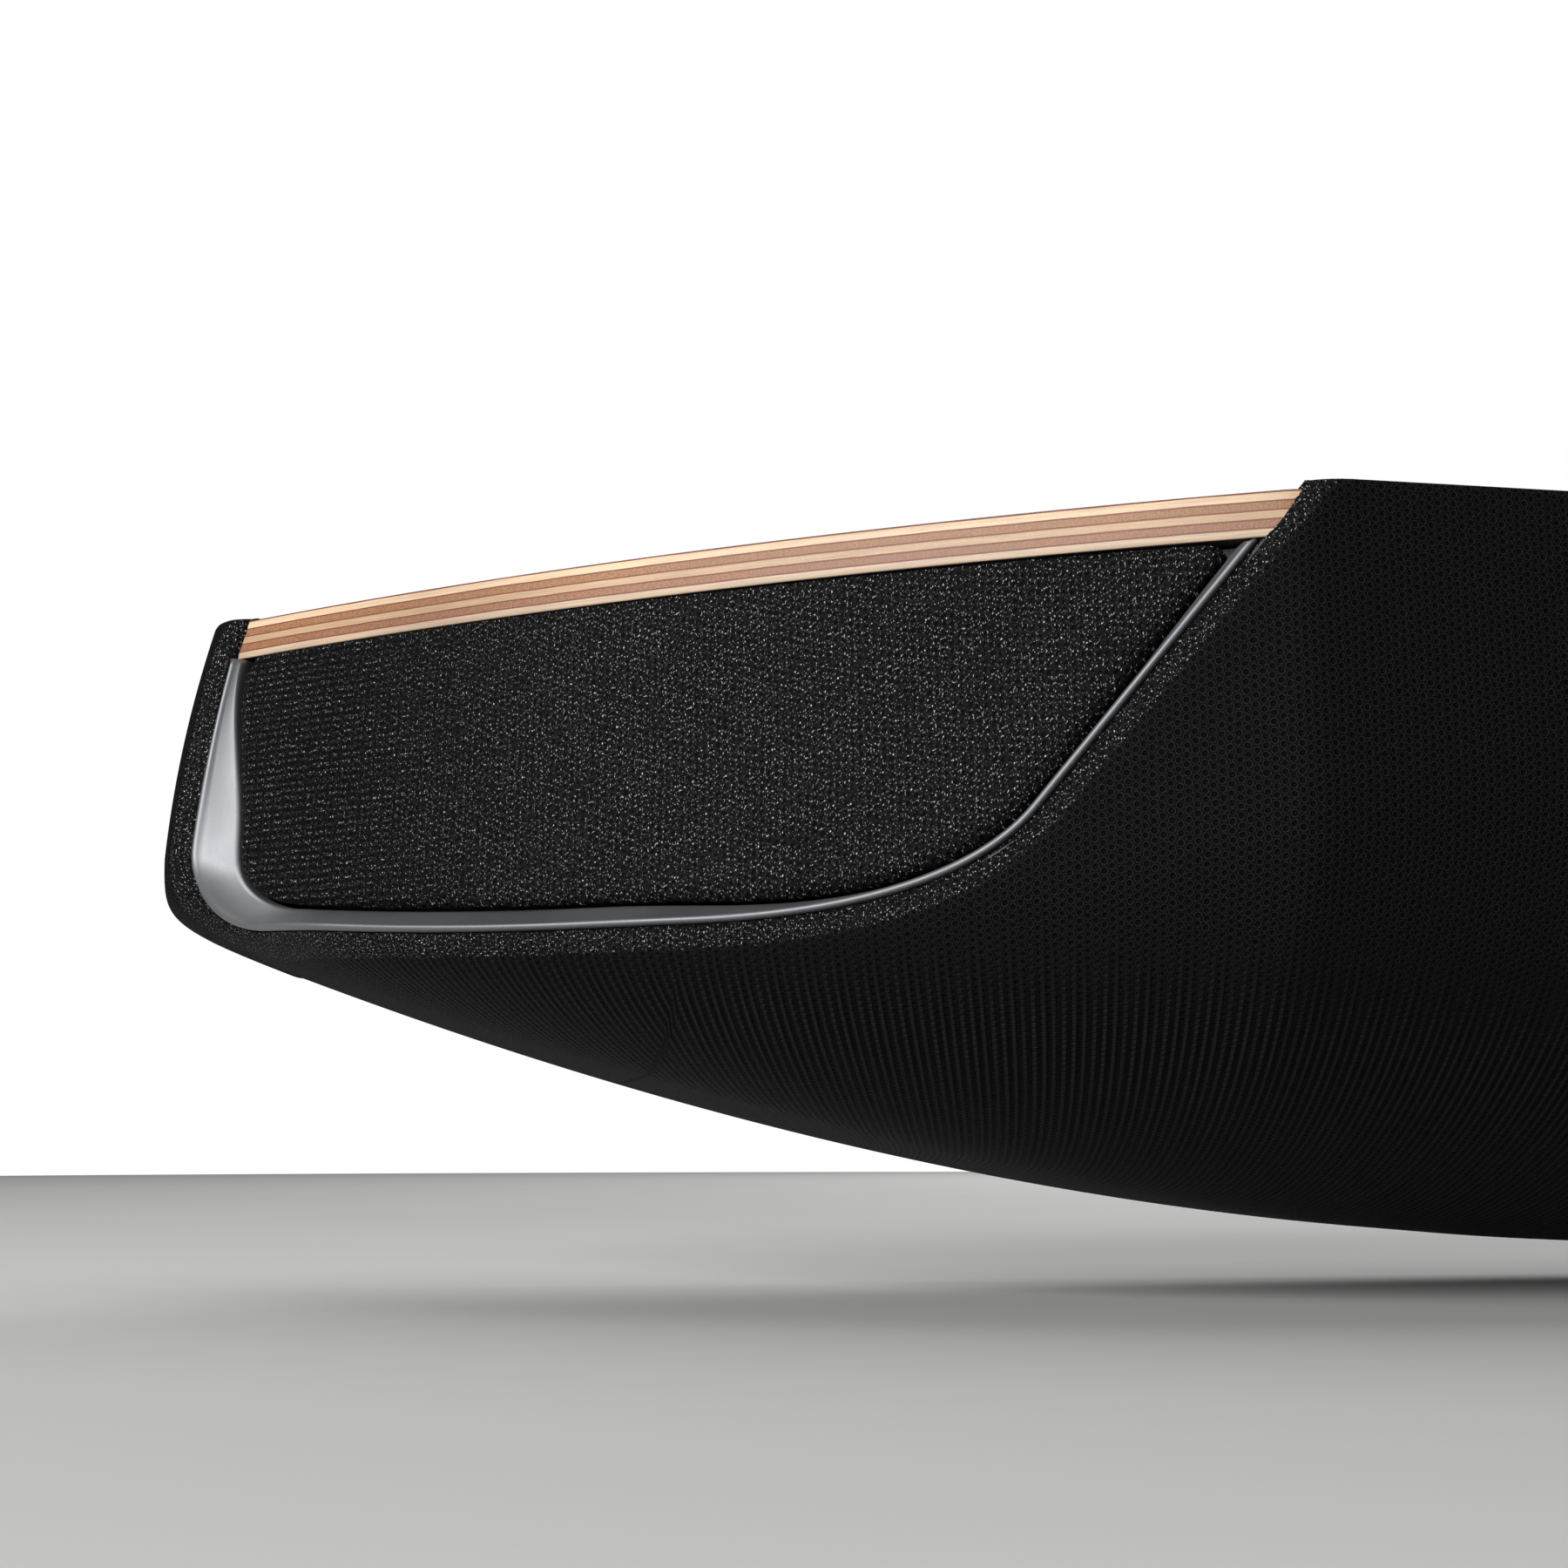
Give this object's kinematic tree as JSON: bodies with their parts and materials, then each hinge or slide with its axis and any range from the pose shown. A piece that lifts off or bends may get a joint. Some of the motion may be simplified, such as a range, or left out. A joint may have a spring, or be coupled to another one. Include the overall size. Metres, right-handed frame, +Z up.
{
  "type": "soundbar",
  "caption": "Boat-shaped soundbar: knitted fabric hull, plywood deck, cloth grille window in a satin trim at each tapered end, and a connector bay at the rear.",
  "frame": {"origin": "on the table, under the middle of the bar's bounding box", "axes": "+X along the bar to the listener's right, -Y towards the listener, +Z up"},
  "size_m": [0.9912, 0.1416, 0.1133],
  "materials": {
    "plywood": "satin lacquer over birch and brown plies",
    "sleeve_knit": "black knitted mesh",
    "grille_knit": "black knitted mesh with glossy yarn",
    "satin_trim": "satin dark grey",
    "black_plastic": "fine spark texture",
    "button_plastic": "matt",
    "rubber": "matt",
    "steel": "zinc plated",
    "aluminium": "bare",
    "cone_paper": "coated paper",
    "circuit": "solder mask"
  },
  "bodies": {
    "chassis": {"plywood_deck": "plywood", "hull_sleeve": "sleeve_knit", "grille_cloth_left": "grille_knit", "grille_cloth_right": "grille_knit", "window_trim_left": "satin_trim", "window_trim_right": "satin_trim", "hull_tub": "black_plastic", "rear_cover": "black_plastic", "connector_tray": "black_plastic", "base_plinth": "black_plastic", "front_baffle": "black_plastic", "power_inlet": "black_plastic", "optical_socket": "black_plastic", "grille_frame_left": "black_plastic", "grille_frame_right": "black_plastic", "side_baffle_left": "black_plastic", "side_baffle_right": "black_plastic", "rubber_foot_front_left": "rubber", "rubber_foot_front_right": "rubber", "rubber_foot_rear_left": "rubber", "rubber_foot_rear_right": "rubber", "woofer_surround_left": "rubber", "woofer_surround_right": "rubber", "centre_driver_surround": "rubber", "side_driver_surround_left": "rubber", "side_driver_surround_right": "rubber", "hdmi_socket": "steel", "network_socket": "steel", "transformer": "steel", "cover_screw_left_low": "steel", "cover_screw_left_high": "steel", "cover_screw_right_low": "steel", "cover_screw_right_high": "steel", "woofer_basket_left": "steel", "woofer_basket_right": "steel", "woofer_magnet_left": "steel", "woofer_magnet_right": "steel", "side_driver_basket_left": "steel", "side_driver_basket_right": "steel", "side_driver_magnet_left": "steel", "side_driver_magnet_right": "steel", "centre_driver_basket": "steel", "centre_driver_magnet": "steel", "heat_sink": "aluminium", "wireless_module": "aluminium", "main_board": "circuit", "power_supply_board": "circuit", "amplifier_board": "circuit", "touch_board": "circuit"},
    "woofer_cone_left": {"woofer_cone_left": "cone_paper"},
    "woofer_cone_right": {"woofer_cone_right": "cone_paper"},
    "centre_driver_cone": {"centre_driver_cone": "cone_paper"},
    "side_driver_cone_left": {"side_driver_cone_left": "cone_paper"},
    "side_driver_cone_right": {"side_driver_cone_right": "cone_paper"},
    "power_button": {"power_button": "button_plastic"},
    "pairing_button": {"pairing_button": "button_plastic"}
  },
  "joints": [
    {"name": "woofer_left_stroke", "type": "slide", "parent": "chassis", "child": "woofer_cone_left", "axis": [0, -1, 0], "range_m": [-0.003, 0.003], "stiffness_N_per_m": 300, "deforming": ["woofer_surround_left"]},
    {"name": "woofer_right_stroke", "type": "slide", "parent": "chassis", "child": "woofer_cone_right", "axis": [0, -1, 0], "range_m": [-0.003, 0.003], "stiffness_N_per_m": 300, "deforming": ["woofer_surround_right"]},
    {"name": "centre_driver_stroke", "type": "slide", "parent": "chassis", "child": "centre_driver_cone", "axis": [0, -1, 0], "range_m": [-0.002, 0.002], "stiffness_N_per_m": 300, "deforming": ["centre_driver_surround"]},
    {"name": "side_driver_left_stroke", "type": "slide", "parent": "chassis", "child": "side_driver_cone_left", "axis": [-0.5736, -0.8191, 0], "range_m": [-0.0015, 0.0015], "stiffness_N_per_m": 300, "deforming": ["side_driver_surround_left"]},
    {"name": "side_driver_right_stroke", "type": "slide", "parent": "chassis", "child": "side_driver_cone_right", "axis": [0.5736, -0.8191, 0], "range_m": [-0.0015, 0.0015], "stiffness_N_per_m": 300, "deforming": ["side_driver_surround_right"]},
    {"name": "power_button_press", "type": "slide", "parent": "chassis", "child": "power_button", "axis": [0, -1, 0], "range_m": [0, 0.0008], "stiffness_N_per_m": 150},
    {"name": "pairing_button_press", "type": "slide", "parent": "chassis", "child": "pairing_button", "axis": [0, -1, 0], "range_m": [0, 0.0008], "stiffness_N_per_m": 150}
  ]
}
